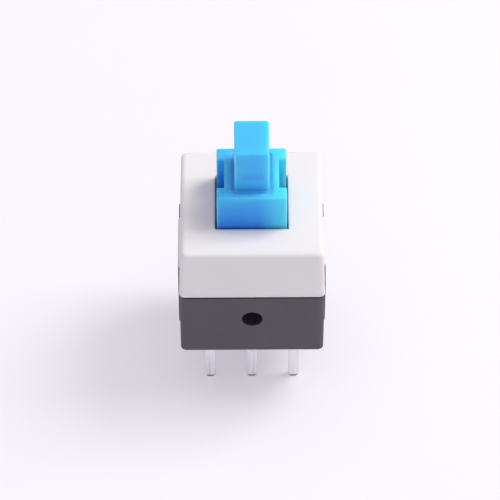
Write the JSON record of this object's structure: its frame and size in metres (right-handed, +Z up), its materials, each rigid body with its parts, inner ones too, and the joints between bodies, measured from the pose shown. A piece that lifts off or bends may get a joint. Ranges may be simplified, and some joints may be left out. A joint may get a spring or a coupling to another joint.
{
  "type": "self-locking push switch",
  "caption": "Square self-locking push switch with a blue plunger stem, white clipped cover, dark base and two rows of solder pins.",
  "frame": {"origin": "centre of the base's underside, which seats on the circuit board", "axes": "+Z up along the plunger, X along the pin rows, -Y towards the front wall with the round hole in the picture"},
  "size_m": [0.0088, 0.0086, 0.0179],
  "materials": {
    "base_plastic": "dark grey moulded plastic, faint texture",
    "cover_plastic": "white moulded plastic, satin",
    "plunger_plastic": "sky blue moulded acetal, satin",
    "spring_steel": "drawn steel",
    "contact_bronze": "stamped bronze strip",
    "tin_plate": "bright tin plating"
  },
  "bodies": {
    "housing": {"base": "base_plastic", "cover": "cover_plastic", "return_spring": "spring_steel", "pin_spring": "spring_steel", "terminal_front_left": "tin_plate", "terminal_front_common": "tin_plate", "terminal_front_right": "tin_plate", "terminal_rear_left": "tin_plate", "terminal_rear_common": "tin_plate", "terminal_rear_right": "tin_plate"},
    "plunger": {"plunger": "plunger_plastic", "contact_front": "contact_bronze", "contact_rear": "contact_bronze"},
    "lock_pin": {"lock_pin": "spring_steel"}
  },
  "joints": [
    {"name": "plunger_press", "type": "slide", "parent": "housing", "child": "plunger", "axis": [0, 0, -1], "range_m": [0, 0.0022], "stiffness_N_per_m": 800, "deforming": ["return_spring"]},
    {"name": "lock_pin_swing", "type": "hinge", "parent": "housing", "child": "lock_pin", "pos_m": [0.00205, 0, 0.00135], "axis": [1, 0, 0], "range_deg": [0, 18]}
  ],
  "couplings": [
    {"joint": "lock_pin_swing", "follows": "plunger_press", "rad_per_m": 142.17}
  ]
}
